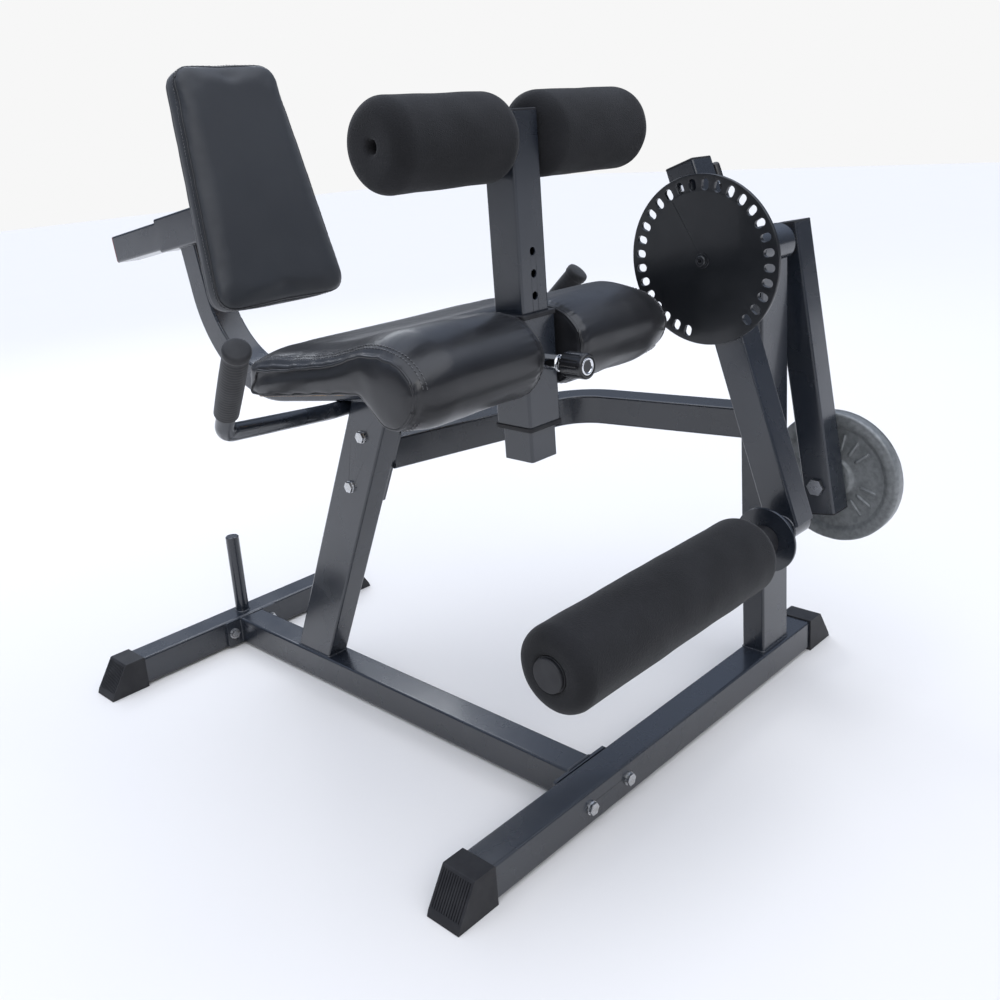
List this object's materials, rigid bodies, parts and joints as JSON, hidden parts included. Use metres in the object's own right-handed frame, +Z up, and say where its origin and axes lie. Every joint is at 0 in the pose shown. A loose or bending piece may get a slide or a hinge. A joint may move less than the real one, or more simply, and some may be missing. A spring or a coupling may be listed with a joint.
{
  "type": "leg extension machine",
  "caption": "Plate-loaded seated leg extension: slotted index disc and pin set the leg arm's start, foam rollers hold thighs and ankles, and the back pad and thigh post slide to fit.",
  "frame": {"origin": "on the floor under the middle of the machine's bounding box", "axes": "+Z up; the user faces -Y; +X towards the index disc, upright and weight peg, so +X is the user's left"},
  "size_m": [1.0291, 1.2879, 1.0524],
  "materials": {
    "frame_paint": "glossy dark blue-grey powder coat",
    "ribbed_plastic": "matt black moulded plastic",
    "zinc": "bright zinc plating",
    "steel": "turned bright steel",
    "chrome": "polished chrome plating",
    "bronze": "sintered bronze",
    "vinyl": "black synthetic leather, satin, double stitched",
    "foam": "matt black closed-cell foam",
    "grip_rubber": "black rubber",
    "plywood": "plywood edge and face",
    "red_plastic": "red plastic plug",
    "black_plastic": "black plastic",
    "plate_iron": "grey hammertone paint"
  },
  "bodies": {
    "frame": {"front_crossbar": "frame_paint", "rear_crossbar": "frame_paint", "base_rail": "frame_paint", "rail_flanges": "frame_paint", "end_caps": "ribbed_plastic", "frame_bolts": "zinc", "frame_nuts": "zinc", "storage_peg": "frame_paint", "seat_post": "frame_paint", "cross_beam": "frame_paint", "seat_frame": "frame_paint", "back_receiver": "frame_paint", "roller_post_sleeve": "frame_paint", "sleeve_bushes": "ribbed_plastic", "height_pin_housing": "chrome", "back_pin_housing": "chrome", "handlebar": "frame_paint", "grip_left": "grip_rubber", "grip_right": "grip_rubber", "seat_brackets": "frame_paint", "seat_board": "plywood", "seat_screws": "zinc", "seat_pad": "vinyl", "upright": "frame_paint", "bearing_housing": "frame_paint", "shaft_bearings": "bronze"},
    "height_pin": {"height_pin": "chrome", "height_pin_knob": "black_plastic"},
    "roller_post": {"roller_post": "frame_paint", "roller_post_cap": "ribbed_plastic", "thigh_axle": "steel"},
    "thigh_roller_left": {"thigh_foam_left": "foam"},
    "thigh_roller_right": {"thigh_foam_right": "foam"},
    "back_slide": {"back_slide_tube": "frame_paint", "slide_tube_plug": "red_plastic", "back_plate": "frame_paint", "back_board": "plywood", "back_pad": "vinyl", "back_pad_screws": "zinc"},
    "back_pin": {"back_pin": "chrome", "back_pin_knob": "black_plastic"},
    "drive": {"main_shaft": "steel", "shaft_spacers": "frame_paint", "disc_bolt": "zinc", "selector_arm": "frame_paint", "selector_collar": "frame_paint", "selector_pin_housing": "chrome", "weight_arm": "frame_paint", "arm_caps": "ribbed_plastic", "weight_peg": "steel"},
    "leg": {"index_disc": "frame_paint", "leg_arm": "frame_paint", "ankle_tube": "frame_paint", "ankle_flange": "frame_paint", "ankle_tube_caps": "ribbed_plastic"},
    "ankle_roller": {"ankle_foam": "foam", "ankle_core": "ribbed_plastic"},
    "selector_pin": {"selector_pin": "chrome", "selector_handle": "black_plastic"},
    "weight_plate": {"weight_plate": "plate_iron"}
  },
  "joints": [
    {"name": "drive_swing", "type": "hinge", "parent": "frame", "child": "drive", "pos_m": [0.2915, -0.467, 0.724], "axis": [-1, 0, 0], "range_deg": [-25, 100]},
    {"name": "leg_index", "type": "hinge", "parent": "drive", "child": "leg", "pos_m": [0.1235, -0.467, 0.724], "axis": [-1, 0, 0], "range_deg": [-22.5, 90]},
    {"name": "selector_pin_slide", "type": "slide", "parent": "drive", "child": "selector_pin", "axis": [-1, 0, 0], "range_m": [-0.012, 0.0065]},
    {"name": "ankle_roller_spin", "type": "hinge", "parent": "leg", "child": "ankle_roller", "pos_m": [-0.1775, -0.58983, 0.33913], "axis": [1, 0, 0], "continuous": true},
    {"name": "weight_plate_slide", "type": "slide", "parent": "drive", "child": "weight_plate", "axis": [1, 0, 0], "range_m": [0, 0.081]},
    {"name": "roller_post_slide", "type": "slide", "parent": "frame", "child": "roller_post", "axis": [0, 0, 1], "range_m": [-0.112, 0.056]},
    {"name": "thigh_roller_left_spin", "type": "hinge", "parent": "roller_post", "child": "thigh_roller_left", "pos_m": [-0.3045, -0.387, 0.916], "axis": [1, 0, 0], "continuous": true},
    {"name": "thigh_roller_right_spin", "type": "hinge", "parent": "roller_post", "child": "thigh_roller_right", "pos_m": [-0.0505, -0.387, 0.916], "axis": [1, 0, 0], "continuous": true},
    {"name": "height_pin_pull", "type": "slide", "parent": "frame", "child": "height_pin", "axis": [0, -1, 0], "range_m": [0, 0.012]},
    {"name": "back_slide_travel", "type": "slide", "parent": "frame", "child": "back_slide", "axis": [0, -0.9862, 0.1657], "range_m": [-0.05, 0.1]},
    {"name": "back_pin_pull", "type": "slide", "parent": "frame", "child": "back_pin", "axis": [1, 0, 0], "range_m": [0, 0.012]}
  ]
}
